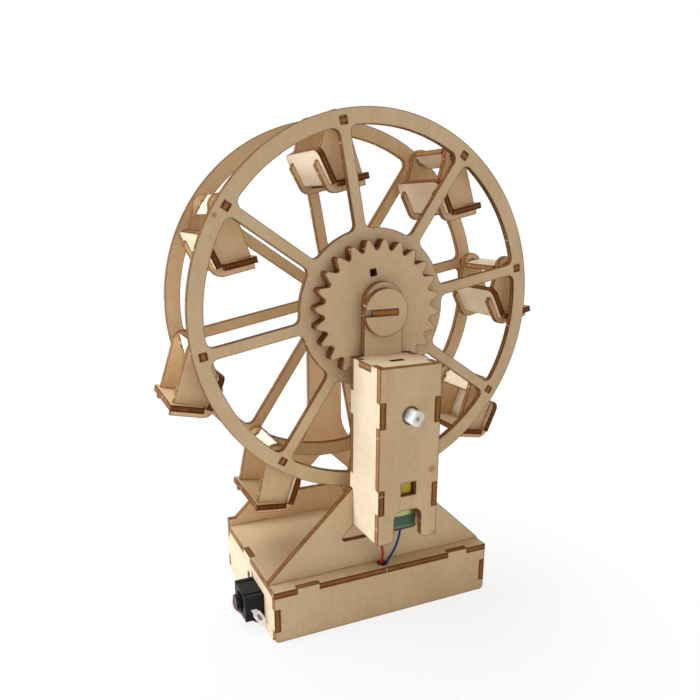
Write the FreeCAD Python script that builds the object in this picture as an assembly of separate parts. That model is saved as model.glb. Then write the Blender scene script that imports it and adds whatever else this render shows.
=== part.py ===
import FreeCAD, Part
import math
import os

# Wooden ferris wheel kit: laser-cut plywood plates, a geared motor in a tower and eight hanging seats.
# Millimetres. X runs to the right, Y towards the back and Z up. The origin is the middle of the
# front panel's bottom edge, which the kit stands on.

# Sheet stock
ply = 2.7                      # thickness of every plywood plate
tab_gap = 0.03                 # room left round each tab in its slot

# Base box
base_width = 112.0
base_depth = 74.0
base_height = 25.0
base_corner_radius = 2.0       # lower corners of the front panel
front_tab_width = 11.0
front_tab_x = 39.5             # centre of each front or rear tab, left and right
side_tab_setback = 40.3        # centre of the tab on each side panel's top edge, from the front
side_tab_width = 10.5
front_finger_low = 5.5         # side panel finger in the front panel
front_finger_high = 16.5
rear_finger_low = 7.9          # side panel finger in the rear plate
rear_finger_high = 18.8

# Wheel axle and the two A-frames that hold it
axle_height = 144.4
axle_width = 11.4
frame_setback = 7.2            # from the base's front edge to the front A-frame
frame_top_radius = 9.4
frame_top_rise = 3.6           # centre of the rounded top above the axle
frame_foot_height = 0.8        # blunt foot of the front A-frame
frame_knee_height = 65.0       # where the sloping legs meet the upright part
frame_tab_x = 36.0
frame_tab_width = 12.0
rear_shoulder_height = 29.0
rear_shoulder_x = 52.1
rear_knee_x = 15.0
rear_flare_radius = 22.0
cutout_low = 39.0              # trapezoid opening between the legs of both A-frames
cutout_high = 57.0
cutout_low_half = 22.0
cutout_high_half = 3.4
cutout_radius = 1.6

# Motor tower in front of the front A-frame
tower_width = 29.0
tower_depth = 24.7             # from the tower's front face to the front A-frame's front face
tower_above_shaft = 20.9
tower_below_shaft = 57.1
tower_tab_width = 11.0
tower_tab_rises = (1.1, -37.5)  # centres of the tabs, above or below the shaft
lid_tab_setback = 13.8         # centre of the tab on each side of the lid, from the tower's front
lid_slot_width = 6.4
lid_slot_depth = 2.9           # a slot in the lid, over the motor's tab
shaft_window_radius = 3.85
window_width = 7.2
window_height = 6.0
window_drop = 32.9             # centre of the small window below the shaft
doorway_width = 13.4
doorway_drop = 42.7            # top of the doorway below the shaft
doorway_radius = 3.6
doorway_flare = 2.4

# Geared motor
gearbox_width = 22.5
gearbox_depth = 18.8
gearbox_above_shaft = 11.2
gearbox_below_shaft = 30.0
gearbox_top_radius = 8.0
motor_gap = 0.4                # between the gearbox and the tower's front panel
can_clip_width = 6.2           # tongues of the gearbox halves over the motor can's flats
can_clip_length = 7.4
motor_tab_width = 5.6
motor_tab_length = 5.0
motor_tab_thickness = 2.6
motor_tab_radius = 1.4
motor_tab_hole_radius = 1.5
mounting_hole_spacing = 17.6
mounting_hole_drop = 20.4
mounting_hole_radius = 1.55
case_screw_radius = 1.2
case_screw_head_radius = 2.1
case_screw_head_height = 1.2
case_screw_length = 12.0
case_screw_x = 7.6
case_screw_rise = 4.5           # two of the three case screws above the shaft
can_radius = 10.0
can_thickness = 15.0
can_length = 17.6
end_cap_length = 6.0
end_cap_inset = 0.25
end_boss_radius = 3.0
end_boss_length = 1.2
terminal_x = 7.4               # where the red lead meets the motor's end cap, to the left
blue_terminal_x = 3.9
shaft_radius = 3.2
shaft_flat = 4.6               # across the two flats at each end
shaft_length = 36.8
shaft_turn = -30.0             # degrees from flats that face left and right, as the wheel stands
shaft_screw_radius = 0.95
shaft_screw_depth = 8.0
bearing_gap = 0.06             # radial room of a turning part in its hole

# Gear pair
gear_teeth = 24
pinion_teeth = 10
gear_module = 2.34
pressure_angle = 20.0
gear_tip_radius = 30.5
gear_root_radius = 26.0
pinion_tip_radius = 13.4
pinion_root_radius = 9.0
tooth_thinning = 0.42          # taken off each tooth's thickness at the pitch circle
gear_front_gap = 1.5           # between the front A-frame and the gear
key_hole_size = 3.0            # small square hole in the gear
key_hole_radius = 16.8
pinion_forward = 0.6           # keeps the pinion clear of the gear's second plate

# Wheel
seat_count = 8
first_spoke_angle = 10.8       # degrees above +X, as the wheel stands
rim_out = 4.5                  # from the crossbars' circle to the rim's outer edge
rim_in = 2.3
front_hub_radius = 35.2
rear_hub_radius = 13.0
spoke_width = 4.95
window_corner_radius = 3.2
bar_circle_radius = 78.8
rear_ring_gap = 7.6            # between the rear ring and the rear A-frame
cap_radius = 10.4

# Crossbars, which carry the seats between the two rings
bar_end_width = 3.2
bar_middle_width = 10.0
bar_front_length = 11.7        # narrow end from the front ring's front face
bar_rear_length = 12.2         # narrow end to the rear ring's rear face
upright_bars = (0, 5)          # these two stand with their wide face to the hub

# Seats
seat_front_gap = 5.1           # from the front ring to the front hanger plate
hanger_spacing = 28.4          # from one hanger plate to the other, front face to front face
seat_overhang = 3.0            # how far the seat panels stand out past the hanger plates
hanger_top_radius = 5.1
hanger_front_top = 5.0
hanger_front_low = 7.3
hanger_back_top = -4.9
floor_top = -22.2              # below the pivot
floor_rear = -5.5
floor_front = 8.9
flange_front = 8.0
flange_drop = 2.5              # hanger flange below the floor
flange_corner_radius = 5.0
flange_back_low = -9.5
flange_back_high = (-13.1, -14.3)
flange_tip = (-11.4, -12.0)
back_lean = 13.5               # degrees
back_foot = -6.2               # inner face of the backrest at back_foot_height
back_foot_height = -22.8
back_length = 15.6
back_corner_radius = 3.5
hanger_back_high = (-9.25, -7.8)
lap_gap = 0.05
cut_margin = 4.0               # how far a slot is cut on past an edge
# Backrest side (+1: backrest on the left) and the angle at which each seat hangs
seat_sides = (1, 1, 1, 1, -1, -1, -1, -1)
seat_tilts = (13.2, 12.5, 13.9, 12.1, -12.5, -6.3, -9.0, -10.0)

# Push switch on the left panel
switch_depth = 9.0             # out from the panel
switch_length = 16.8
switch_height = 12.5
switch_setback = 23.0          # centre, from the base's front edge
switch_low = 4.3
switch_groove_width = 1.0
switch_groove_depth = 0.7
switch_groove_inset = 2.6
button_radius = 3.7
button_length = 5.0
button_proud = 2.7
button_edge_radius = 0.5
button_recess_radius = 5.0
button_recess_depth = 0.8
lug_thickness = 0.5
lug_width = 2.6
lug_root_length = 2.4          # upright part, flat on the switch's front end
lug_length = 7.4               # bent part, from the root down
lug_tilt = 26.0                # degrees that the bent part leans to the right
lug_lean = 39.0                # degrees that it stands out to the front
lug_hole_radius = 0.8
lug_out = 4.7                  # middle of the bend, out from the panel
lug_bend_height = 9.4
lug_solder = 1.5               # from the lug's tip to the lead on it
prong_width = 2.2
prong_out = 1.9
prong_top = 20.1
switch_lead_out = 5.5          # where the other lead leaves the rear end
switch_lead_height = 6.6

# Battery holder under the base's top plate
holder_wall = 1.2
holder_setback = 40.0          # centre, from the base's front edge
cell_radius = 7.1
cell_length = 50.0
cell_button_radius = 2.7
cell_button_length = 1.0
cell_wall_gap = 0.3
cell_gap = 0.3                 # between the two cells
cell_side_gap = 0.15
cell_show = 0.7                # how far the cells stand out of the tray's mouth
contact_thickness = 0.5
contact_bump_length = 2.3
contact_width = 9.0
contact_bump_foot = 3.6
contact_bump_tip = 1.8

# Leads
lead_diameter = 1.1
lead_hole_radius = 1.2
wire_hole_radius = 2.5
wire_hole_setback = 4.6        # behind the base's front edge
red_hole_setback = 44.0        # where the motor's red lead comes out through the left panel
red_hole_height = 3.0
switch_hole_setback = 37.6     # where the switch's other lead goes in
switch_hole_height = 4.2
hole_run = 5.0                 # straight run of a lead, inward from the left panel's outer face
terminal_run = 6.0             # straight run of a lead, down from the motor
switch_run = 5.0               # straight run of a lead, back from the switch
# Bends of the leads. From the middle of the base's top edge, at the front:
red_drop = ((-4.9, -4.2, 13.6), (-2.2, 0.0, 6.4), (-0.9, 4.0, -0.4), (-3.0, 6.2, -7.4))
blue_drop = ((2.9, -2.8, 11.4), (1.7, 0.6, 4.6), (1.0, 4.3, -1.8), (0.0, 6.4, -8.8))
# From the left panel's lower front corner:
red_run = ((44.0, 9.4, 11.6), (30.0, 15.4, 6.8), (18.0, 27.4, 4.0), (10.0, 39.4, 3.2))
switch_loop = ((-2.2, 38.2, 4.4),)
red_loop = ((-3.4, 43.6, 2.8), (-8.2, 39.4, 2.2), (-9.4, 32.6, 1.5), (-8.0, 28.0, 1.4), (-3.4, 17.4, 1.5))
# From the middle of the battery holder's left end, at its mouth:
blue_run = ((23.0, -30.0, 3.3), (13.0, -24.4, 1.7), (2.0, -18.4, 2.9), (-6.6, -12.0, 4.7), (-7.0, -4.4, 6.1))
switch_inner_run = ((-15.0, -1.0, -0.7), (-8.0, 4.4, 3.7))
lead_solder_y = 4.4            # where the leads meet the holder's end, from its middle
blue_solder_rise = 6.1
switch_solder_rise = 3.7

# Worked out from the sizes above
front_y = -ply / 2
rear_y = front_y + base_depth
left_x = -base_width / 2
right_x = base_width / 2
top_underside = base_height - ply
rear_plate_y = rear_y - ply
frame_y = front_y + frame_setback
tower_y = frame_y - tower_depth
tower_half = tower_width / 2
gear_y = frame_y + ply + gear_front_gap
spacer_y = gear_y + ply
pinion_y = gear_y - pinion_forward
front_ring_y = spacer_y + ply
rear_ring_y = rear_plate_y - rear_ring_gap - ply
front_cap_y = frame_y - ply
rear_cap_y = rear_y
side_tab_y = front_y + side_tab_setback
lid_tab_y = tower_y + lid_tab_setback
bar_middle_start = front_ring_y + bar_front_length
bar_middle_end = rear_ring_y + ply - bar_rear_length
seat_plate_front = front_ring_y + ply + seat_front_gap
seat_plate_rear = seat_plate_front + hanger_spacing
switch_y = front_y + switch_setback
holder_y = front_y + holder_setback
holder_length = cell_length + 2 * (contact_bump_length + contact_thickness + holder_wall)
holder_width = 4 * cell_radius + cell_gap + 2 * (cell_side_gap + holder_wall)
holder_height = holder_wall + cell_wall_gap + 2 * cell_radius - cell_show
holder_low = top_underside - holder_height
motor_y = tower_y + ply + motor_gap + gearbox_depth / 2
gear_distance = gear_module * (gear_teeth + pinion_teeth) / 2
shaft_height = axle_height - gear_distance
tower_low = shaft_height - tower_below_shaft
tower_high = shaft_height + tower_above_shaft
tower_tab_heights = [shaft_height + rise for rise in tower_tab_rises]
window_z = shaft_height - window_drop
doorway_high = shaft_height - doorway_drop
axle_corner_radius = math.hypot(axle_width / 2, ply / 2)
rim_outer_radius = bar_circle_radius + rim_out
rim_inner_radius = bar_circle_radius - rim_in
hub_hole_radius = axle_corner_radius + bearing_gap
bar_corner_radius = math.hypot(bar_end_width / 2, ply / 2)
pivot_hole_radius = bar_corner_radius + bearing_gap


def vec(x, y, z):
    return FreeCAD.Vector(x, y, z)


TO_BACK = vec(0, 1, 0)
TO_RIGHT = vec(1, 0, 0)


def box(x_low, x_high, y_low, y_high, z_low, z_high):
    return Part.makeBox(x_high - x_low, y_high - y_low, z_high - z_low, vec(x_low, y_low, z_low))


def slot_box(x_low, x_high, y_low, y_high, z_low, z_high):
    """The space cut for a tab: the tab's own box with the tab gap all round."""
    return box(x_low - tab_gap, x_high + tab_gap, y_low - tab_gap, y_high + tab_gap,
               z_low - tab_gap, z_high + tab_gap)


def disc(radius, y, thickness, x=0.0, z=0.0):
    """A round plate or hole along Y."""
    return Part.makeCylinder(radius, thickness, vec(x, y, z), TO_BACK)


def plate(outline, y, thickness=ply):
    """A flat plate that stands in the XZ plane, cut along straight lines."""
    points = [vec(x, y, z) for x, z in outline]
    face = Part.Face(Part.makePolygon(points + points[:1]))
    return face.extrude(vec(0, thickness, 0))


def rounded(shape, corners, radius):
    """Rounds the edges along Y that stand at the given (x, z) corners."""
    chosen = []
    for edge in shape.Edges:
        first, last = edge.Vertexes[0].Point, edge.Vertexes[-1].Point
        if abs(first.x - last.x) + abs(first.z - last.z) > 1e-6:
            continue
        if any(math.hypot(first.x - x, first.z - z) < 0.01 for x, z in corners):
            chosen.append(edge)
    return shape.makeFillet(radius, chosen)


def turned(shape, angle, x=0.0, z=0.0):
    """Turned in the XZ plane about (x, z), counter-clockwise as seen from the front."""
    copy = shape.copy()
    copy.rotate(vec(x, 0, z), TO_BACK, -angle)
    return copy


def mirrored_sides(x, half):
    """The two X spans of a pair of like features, left and right."""
    return [(-x - half, -x + half), (x - half, x + half)]


# Base box

def base_tab_spans():
    return mirrored_sides(front_tab_x, front_tab_width / 2)


def frame_tab_spans():
    return mirrored_sides(frame_tab_x, frame_tab_width / 2)


def side_tab_span():
    return side_tab_y - side_tab_width / 2, side_tab_y + side_tab_width / 2


def make_base_top():
    top = box(left_x, right_x, front_y, rear_plate_y, top_underside, base_height)
    for low, high in base_tab_spans():
        top = top.fuse(box(low, high, rear_plate_y, rear_y, top_underside, base_height))
        top = top.cut(slot_box(low, high, front_y, front_y + ply, top_underside, base_height))
    for low, high in frame_tab_spans():
        top = top.cut(slot_box(low, high, frame_y, frame_y + ply, top_underside, base_height))
    tab_low, tab_high = side_tab_span()
    for x_low, x_high in ((left_x, left_x + ply), (right_x - ply, right_x)):
        top = top.cut(slot_box(x_low, x_high, tab_low, tab_high, top_underside, base_height))
    hole = Part.makeCylinder(wire_hole_radius, ply, vec(0, front_y + wire_hole_setback, top_underside))
    return top.cut(hole).removeSplitter()


def make_base_front():
    panel = box(left_x, right_x, front_y, front_y + ply, 0, top_underside)
    panel = rounded(panel, [(left_x, 0), (right_x, 0)], base_corner_radius)
    for low, high in base_tab_spans():
        panel = panel.fuse(box(low, high, front_y, front_y + ply, top_underside, base_height))
    for x_low, x_high in ((left_x, left_x + ply), (right_x - ply, right_x)):
        finger = slot_box(x_low, x_high, front_y, front_y + ply, front_finger_low, front_finger_high)
        panel = panel.cut(finger)
    return panel.removeSplitter()


def make_base_side(x_low):
    x_high = x_low + ply
    panel = box(x_low, x_high, front_y + ply, rear_plate_y, 0, top_underside)
    panel = panel.fuse(box(x_low, x_high, front_y, front_y + ply, front_finger_low, front_finger_high))
    panel = panel.fuse(box(x_low, x_high, rear_plate_y, rear_y, rear_finger_low, rear_finger_high))
    tab_low, tab_high = side_tab_span()
    return panel.fuse(box(x_low, x_high, tab_low, tab_high, top_underside, base_height)).removeSplitter()


def make_base_left():
    panel = make_base_side(left_x)
    for setback, z in ((red_hole_setback, red_hole_height), (switch_hole_setback, switch_hole_height)):
        hole = Part.makeCylinder(lead_hole_radius, ply, vec(left_x, front_y + setback, z), TO_RIGHT)
        panel = panel.cut(hole)
    return panel


# A-frames and axle

def frame_cutout(y):
    outline = [(-cutout_low_half, cutout_low), (cutout_low_half, cutout_low),
               (cutout_high_half, cutout_high), (-cutout_high_half, cutout_high)]
    return rounded(plate(outline, y), outline, cutout_radius)


def frame_head(y, foot):
    """The upright bar of an A-frame with its rounded top."""
    centre = axle_height + frame_top_rise
    bar = box(-frame_top_radius, frame_top_radius, y, y + ply, foot, centre)
    return bar.fuse(disc(frame_top_radius, y, ply, 0, centre))


def axle_slot(y):
    half = axle_width / 2
    return slot_box(-half, half, y, y + ply, axle_height - ply / 2, axle_height + ply / 2)


def make_front_frame():
    foot = base_height
    blunt = foot + frame_foot_height
    legs = plate([(left_x, foot), (right_x, foot), (right_x, blunt), (tower_half, frame_knee_height),
                  (tower_half, tower_high), (-tower_half, tower_high), (-tower_half, frame_knee_height),
                  (left_x, blunt)], frame_y)
    frame = legs.fuse(frame_head(frame_y, tower_high - ply))
    for low, high in frame_tab_spans():
        frame = frame.fuse(box(low, high, frame_y, frame_y + ply, top_underside, foot))
    frame = frame.removeSplitter().cut(frame_cutout(frame_y)).cut(axle_slot(frame_y))
    for centre in tower_tab_heights:
        low, high = centre - tower_tab_width / 2, centre + tower_tab_width / 2
        for x_low, x_high in ((-tower_half, -tower_half + ply), (tower_half - ply, tower_half)):
            frame = frame.cut(slot_box(x_low, x_high, frame_y, frame_y + ply, low, high))
    return frame.cut(disc(shaft_window_radius, frame_y, ply, 0, shaft_height)).removeSplitter()


def make_rear_frame():
    knee = frame_knee_height
    shoulder = rear_shoulder_height
    half = frame_top_radius
    # The sloping leg runs on to the upright bar, where a wide flare joins the two
    slope = (knee - shoulder) / (rear_shoulder_x - rear_knee_x)
    meet = knee + slope * (rear_knee_x - half)
    outline = [(left_x, 0), (right_x, 0), (right_x, shoulder), (rear_shoulder_x, shoulder), (half, meet),
               (half, axle_height + frame_top_rise), (-half, axle_height + frame_top_rise), (-half, meet),
               (-rear_shoulder_x, shoulder), (left_x, shoulder)]
    frame = plate(outline, rear_plate_y)
    frame = rounded(frame, [(half, meet), (-half, meet)], rear_flare_radius)
    frame = rounded(frame, [(left_x, 0), (right_x, 0)], base_corner_radius)
    frame = frame.fuse(disc(half, rear_plate_y, ply, 0, axle_height + frame_top_rise)).removeSplitter()
    frame = frame.cut(frame_cutout(rear_plate_y)).cut(axle_slot(rear_plate_y))
    for low, high in base_tab_spans():
        frame = frame.cut(slot_box(low, high, rear_plate_y, rear_y, top_underside, base_height))
    for x_low, x_high in ((left_x, left_x + ply), (right_x - ply, right_x)):
        frame = frame.cut(slot_box(x_low, x_high, rear_plate_y, rear_y, rear_finger_low, rear_finger_high))
    return frame


def make_axle():
    half = axle_width / 2
    return box(-half, half, front_cap_y, rear_cap_y + ply, axle_height - ply / 2, axle_height + ply / 2)


def make_axle_cap(y):
    """A round cap that slips over the end of the axle strip from its right side."""
    cap = disc(cap_radius, y, ply, 0, axle_height)
    half = axle_width / 2
    return cap.cut(slot_box(-cap_radius, half, y, y + ply, axle_height - ply / 2, axle_height + ply / 2))


# Motor tower

def tower_tab_boxes(x_low, x_high, y):
    boxes = []
    for centre in tower_tab_heights:
        low, high = centre - tower_tab_width / 2, centre + tower_tab_width / 2
        boxes.append((x_low, x_high, y, y + ply, low, high))
    return boxes


def make_tower_side(x_low):
    x_high = x_low + ply
    panel = box(x_low, x_high, tower_y + ply, frame_y, tower_low, tower_high)
    for span in tower_tab_boxes(x_low, x_high, tower_y) + tower_tab_boxes(x_low, x_high, frame_y):
        panel = panel.fuse(box(*span))
    half = tower_tab_width / 2
    lid_tab = slot_box(x_low, x_high, lid_tab_y - half, lid_tab_y + half, tower_high - ply, tower_high)
    return panel.cut(lid_tab).removeSplitter()


def make_tower_lid():
    inner = tower_half - ply
    half = tower_tab_width / 2
    lid = box(-inner, inner, tower_y + ply, frame_y, tower_high - ply, tower_high)
    tabs = box(-tower_half, tower_half, lid_tab_y - half, lid_tab_y + half, tower_high - ply, tower_high)
    lid = lid.fuse(tabs)
    across, along = lid_slot_width / 2, lid_slot_depth / 2
    slot = box(-across, across, motor_y - along, motor_y + along, tower_high - ply, tower_high)
    return lid.cut(slot).removeSplitter()


def make_doorway():
    """Arched opening at the foot of the tower's front, flared out at its lower corners."""
    half = doorway_width / 2
    arch = box(-half, half, tower_y, tower_y + ply, tower_low, doorway_high)
    arch = rounded(arch, [(-half, doorway_high), (half, doorway_high)], doorway_radius)
    for side in (-1, 1):
        low, high = sorted((side * half, side * (half + doorway_flare)))
        flare = box(low, high, tower_y, tower_y + ply, tower_low, tower_low + doorway_flare)
        centre_x = side * (half + doorway_flare)
        arch = arch.fuse(flare.cut(disc(doorway_flare, tower_y, ply, centre_x, tower_low + doorway_flare)))
    return arch


def make_tower_front():
    panel = box(-tower_half, tower_half, tower_y, tower_y + ply, tower_low, tower_high)
    for x_low, x_high in ((-tower_half, -tower_half + ply), (tower_half - ply, tower_half)):
        for span in tower_tab_boxes(x_low, x_high, tower_y):
            panel = panel.cut(slot_box(*span))
    panel = panel.cut(disc(shaft_window_radius, tower_y, ply, 0, shaft_height))
    across, up = window_width / 2, window_height / 2
    window = box(-across, across, tower_y, tower_y + ply, window_z - up, window_z + up)
    return panel.cut(window).cut(make_doorway()).removeSplitter()


# Geared motor

def gearbox_block():
    half = gearbox_width / 2
    top = shaft_height + gearbox_above_shaft
    low = shaft_height - gearbox_below_shaft
    front = motor_y - gearbox_depth / 2
    outline = [(-half, low), (half, low), (half, top), (-half, top)]
    block = plate(outline, front, gearbox_depth)
    block = rounded(block, [(half, top), (-half, top)], gearbox_top_radius)
    block = block.cut(disc(shaft_radius + bearing_gap, front, gearbox_depth, 0, shaft_height))
    for side in (-1, 1):
        hole = disc(mounting_hole_radius, front, gearbox_depth, side * mounting_hole_spacing / 2,
                    shaft_height - mounting_hole_drop)
        block = block.cut(hole)
    across = can_clip_width / 2
    for near, far in ((front, motor_y - can_thickness / 2 - tab_gap),
                      (motor_y + can_thickness / 2 + tab_gap, front + gearbox_depth)):
        block = block.fuse(box(-across, across, near, far, low - can_clip_length, low))
    return block.removeSplitter()


def case_screw_places():
    high = shaft_height + case_screw_rise
    return [(0, shaft_height - mounting_hole_drop), (-case_screw_x, high), (case_screw_x, high)]


def make_gearbox_front():
    front = motor_y - gearbox_depth / 2
    half = gearbox_width
    shell = gearbox_block().common(box(-half, half, front, motor_y, tower_low, tower_high))
    for x, z in case_screw_places():
        shell = shell.cut(disc(case_screw_head_radius + tab_gap, front, case_screw_head_height, x, z))
        shell = shell.cut(disc(case_screw_radius + tab_gap, front, gearbox_depth / 2, x, z))
    return shell


def make_gearbox_rear():
    back = motor_y + gearbox_depth / 2
    half = gearbox_width
    shell = gearbox_block().common(box(-half, half, motor_y, back, tower_low, tower_high))
    across = motor_tab_width / 2
    top = shaft_height + gearbox_above_shaft
    tab = box(-across, across, motor_y, motor_y + motor_tab_thickness, top, top + motor_tab_length)
    tab_top = top + motor_tab_length
    tab = rounded(tab, [(-across, tab_top), (across, tab_top)], motor_tab_radius)
    tab = tab.cut(disc(motor_tab_hole_radius, motor_y, motor_tab_thickness, 0, top + motor_tab_length / 2))
    shell = shell.fuse(tab)
    reach = case_screw_length - gearbox_depth / 2
    for x, z in case_screw_places():
        shell = shell.cut(disc(case_screw_radius + tab_gap, motor_y, reach, x, z))
    return shell.removeSplitter()


def make_case_screws():
    front = motor_y - gearbox_depth / 2
    screws = []
    for x, z in case_screw_places():
        head = disc(case_screw_head_radius, front, case_screw_head_height, x, z)
        shank = disc(case_screw_radius, front, case_screw_length, x, z)
        screws.append(head.fuse(shank).removeSplitter())
    return Part.makeCompound(screws)


def flat_sided_can(radius, thickness, low, high):
    """A motor can: a cylinder along Z with two flats, front and back."""
    can = Part.makeCylinder(radius, high - low, vec(0, motor_y, low))
    half = thickness / 2
    return can.common(box(-radius, radius, motor_y - half, motor_y + half, low, high))


def make_motor_can():
    high = shaft_height - gearbox_below_shaft
    return flat_sided_can(can_radius, can_thickness, high - can_length, high)


def end_cap_low():
    return shaft_height - gearbox_below_shaft - can_length - end_cap_length


def make_motor_end_cap():
    low = end_cap_low()
    thickness = can_thickness - 2 * end_cap_inset
    cap = flat_sided_can(can_radius - end_cap_inset, thickness, low, low + end_cap_length)
    boss = Part.makeCylinder(end_boss_radius, end_boss_length, vec(0, motor_y, low - end_boss_length))
    return cap.fuse(boss).removeSplitter()


def make_motor_shaft():
    """White cross shaft, with two flats cut on each end."""
    start = motor_y - shaft_length / 2
    shaft = disc(shaft_radius, start, shaft_length, 0, shaft_height)
    half_body = gearbox_depth / 2
    for low, high in ((start, motor_y - half_body), (motor_y + half_body, start + shaft_length)):
        for side in (-1, 1):
            near, far = sorted((side * shaft_flat / 2, side * 2 * shaft_radius))
            flat = box(near, far, low, high, shaft_height - shaft_radius, shaft_height + shaft_radius)
            shaft = shaft.cut(flat)
    for y in (start, start + shaft_length - shaft_screw_depth):
        shaft = shaft.cut(disc(shaft_screw_radius, y, shaft_screw_depth, 0, shaft_height))
    return turned(shaft, shaft_turn, 0, shaft_height)


# Gears

def involute_angle(base_radius, radius):
    """How far an involute has turned about the centre by the time it reaches a radius."""
    if radius <= base_radius:
        return 0.0
    unwound = math.acos(base_radius / radius)
    return math.tan(unwound) - unwound


def polar(radius, angle, y, z_centre):
    return vec(radius * math.cos(angle), y, z_centre + radius * math.sin(angle))


def toothed_plate(teeth, tip_radius, root_radius, y, z_centre, first_tooth):
    """A flat gear with involute flanks; first_tooth is the angle of one tooth's middle, in degrees."""
    pitch_radius = gear_module * teeth / 2
    base_radius = pitch_radius * math.cos(math.radians(pressure_angle))
    half_tooth = (math.pi * gear_module / 2 - tooth_thinning) / 2 / pitch_radius
    at_pitch = involute_angle(base_radius, pitch_radius)
    low_radius = max(root_radius, base_radius)
    middle_radius = (low_radius + tip_radius) / 2

    def half_angle(radius):
        return half_tooth + at_pitch - involute_angle(base_radius, radius)

    edges = []
    step = 2 * math.pi / teeth
    for tooth in range(teeth):
        centre = math.radians(first_tooth) + tooth * step
        radii = (low_radius, middle_radius, tip_radius)
        rising = [polar(r, centre - half_angle(r), y, z_centre) for r in radii]
        falling = [polar(r, centre + half_angle(r), y, z_centre) for r in reversed(radii)]
        tip_middle = polar(tip_radius, centre, y, z_centre)
        foot = polar(root_radius, centre - half_angle(low_radius), y, z_centre)
        if root_radius < low_radius - 0.01:
            edges.append(Part.LineSegment(foot, rising[0]).toShape())
        edges.append(Part.Arc(*rising).toShape())
        edges.append(Part.Arc(rising[2], tip_middle, falling[0]).toShape())
        edges.append(Part.Arc(*falling).toShape())
        root_start = falling[2]
        if root_radius < low_radius - 0.01:
            root_start = polar(root_radius, centre + half_angle(low_radius), y, z_centre)
            edges.append(Part.LineSegment(falling[2], root_start).toShape())
        root_middle = polar(root_radius, centre + step / 2, y, z_centre)
        next_foot = polar(root_radius, centre + step - half_angle(low_radius), y, z_centre)
        edges.append(Part.Arc(root_start, root_middle, next_foot).toShape())
    return Part.Face(Part.Wire(edges)).extrude(vec(0, ply, 0))


def hub_hole(y):
    return disc(hub_hole_radius, y, ply, 0, axle_height)


def gear_plate(y):
    """One of the drive gear's two like plates. A tooth lies on the line of the first spoke."""
    gear = toothed_plate(gear_teeth, gear_tip_radius, gear_root_radius, y, axle_height, first_spoke_angle)
    half = key_hole_size / 2
    key_hole = box(key_hole_radius - half, key_hole_radius + half, y, y + ply,
                   axle_height - half, axle_height + half)
    key_hole = turned(key_hole, first_spoke_angle + 90, 0, axle_height)
    return gear.cut(hub_hole(y)).cut(key_hole)


def pinion_tooth_angle():
    """A gap of the pinion faces the gear's tooth nearest to straight down."""
    gear_step = 360.0 / gear_teeth
    past_tooth = (270.0 - first_spoke_angle) % gear_step
    pinion_step = 360.0 / pinion_teeth
    # As the gear's tooth lies before straight down, the pinion's gap lies the same arc before straight up
    return 90.0 + past_tooth * gear_teeth / pinion_teeth + pinion_step / 2


def make_pinion():
    pinion = toothed_plate(pinion_teeth, pinion_tip_radius, pinion_root_radius, pinion_y, shaft_height,
                           pinion_tooth_angle())
    half = (shaft_flat + 2 * tab_gap) / 2
    bore = disc(shaft_radius + tab_gap, pinion_y, ply, 0, shaft_height)
    reach = 2 * shaft_radius
    bore = bore.common(box(-half, half, pinion_y, pinion_y + ply, shaft_height - reach, shaft_height + reach))
    return pinion.cut(turned(bore, shaft_turn, 0, shaft_height))


# Wheel

def ring_window(hub_radius, y):
    """One opening between two spokes, on the right of the spoke that points along +X."""
    step = 2 * math.pi / seat_count
    half = spoke_width / 2

    def corner(radius, from_first):
        # A point on a circle, half a spoke's width clear of the spoke's middle line
        angle = math.asin(half / radius)
        if not from_first:
            angle = step - angle
        return polar(radius, angle, y, axle_height)

    inner_first, outer_first = corner(hub_radius, True), corner(rim_inner_radius, True)
    outer_last, inner_last = corner(rim_inner_radius, False), corner(hub_radius, False)
    outer_middle = polar(rim_inner_radius, step / 2, y, axle_height)
    inner_middle = polar(hub_radius, step / 2, y, axle_height)
    wire = Part.Wire([Part.LineSegment(inner_first, outer_first).toShape(),
                      Part.Arc(outer_first, outer_middle, outer_last).toShape(),
                      Part.LineSegment(outer_last, inner_last).toShape(),
                      Part.Arc(inner_last, inner_middle, inner_first).toShape()])
    window = Part.Face(wire).extrude(vec(0, ply, 0))
    corners = [(point.x, point.z) for point in (inner_first, outer_first, outer_last, inner_last)]
    return rounded(window, corners, window_corner_radius)


def spoke_angle(number):
    return first_spoke_angle + number * 360.0 / seat_count


def make_ring(hub_radius, y):
    ring = disc(rim_outer_radius, y, ply, 0, axle_height).cut(hub_hole(y))
    window = ring_window(hub_radius, y)
    half = bar_end_width / 2
    bar_slot = slot_box(bar_circle_radius - half, bar_circle_radius + half, y, y + ply,
                        axle_height - half, axle_height + half)
    for number in range(seat_count):
        ring = ring.cut(turned(window, spoke_angle(number), 0, axle_height))
        ring = ring.cut(turned(bar_slot, spoke_angle(number), 0, axle_height))
    return ring


def make_crossbar(number):
    """A strip along the first spoke's end, then turned to its own spoke."""
    end, middle = bar_end_width / 2, bar_middle_width / 2
    x_centre = bar_circle_radius
    back = rear_ring_y + ply
    inner, outer = x_centre - ply / 2, x_centre + ply / 2
    strip = box(inner, outer, front_ring_y, back, axle_height - end, axle_height + end)
    wide = box(inner, outer, bar_middle_start, bar_middle_end, axle_height - middle, axle_height + middle)
    bar = strip.fuse(wide).removeSplitter()
    if number in upright_bars:
        bar = turned(bar, 90.0, x_centre, axle_height)
    return turned(bar, spoke_angle(number), 0, axle_height)


def make_crossbars():
    return Part.makeCompound([make_crossbar(number) for number in range(seat_count)])


# Seats: drawn with the pivot at (0, 0) and the backrest on the left, then hung on their crossbar

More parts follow.
